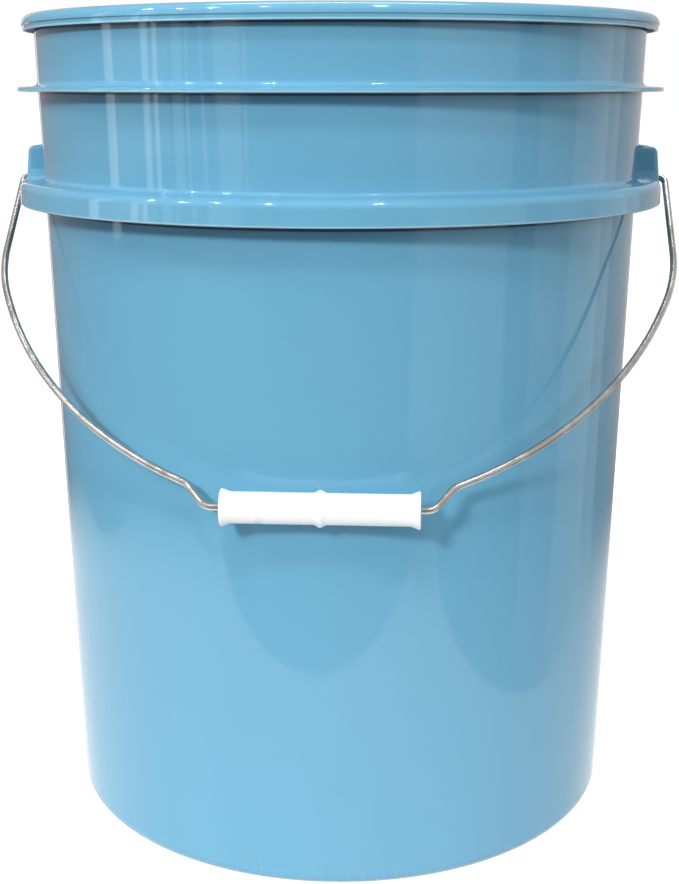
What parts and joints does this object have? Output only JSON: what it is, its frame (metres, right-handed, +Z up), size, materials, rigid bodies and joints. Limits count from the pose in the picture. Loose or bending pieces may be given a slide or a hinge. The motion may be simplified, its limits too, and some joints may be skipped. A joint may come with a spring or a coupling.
{
  "type": "plastic fermenting bucket",
  "caption": "Tapered plastic fermenting bucket with a rolled rim, a stiffening rib, a wide handle skirt with two ears, a swinging steel wire bail and a loose plastic grip.",
  "frame": {"origin": "on the floor, at the centre of the base", "axes": "+Z up along the tub's axis; the ears that carry the bail lie on X; the bail hangs down the -Y wall at rest, so -Y is the front"},
  "size_m": [0.3182, 0.3078, 0.376],
  "materials": {
    "blue_plastic": "glossy light blue moulded polypropylene",
    "zinc_steel": "bright zinc-plated drawn wire",
    "white_plastic": "white moulded polyethylene, satin"
  },
  "bodies": {
    "bucket": {"bucket_shell": "blue_plastic"},
    "bail": {"bail_wire": "zinc_steel"},
    "grip": {"bail_grip": "white_plastic"}
  },
  "joints": [
    {"name": "bail_swing", "type": "hinge", "parent": "bucket", "child": "bail", "pos_m": [0, 0, 0.3], "axis": [-1, 0, 0], "range_deg": [0, 261.6]},
    {"name": "grip_spin", "type": "hinge", "parent": "bail", "child": "grip", "pos_m": [0, -0.14548, 0.17439], "axis": [1, 0, 0], "continuous": true}
  ]
}
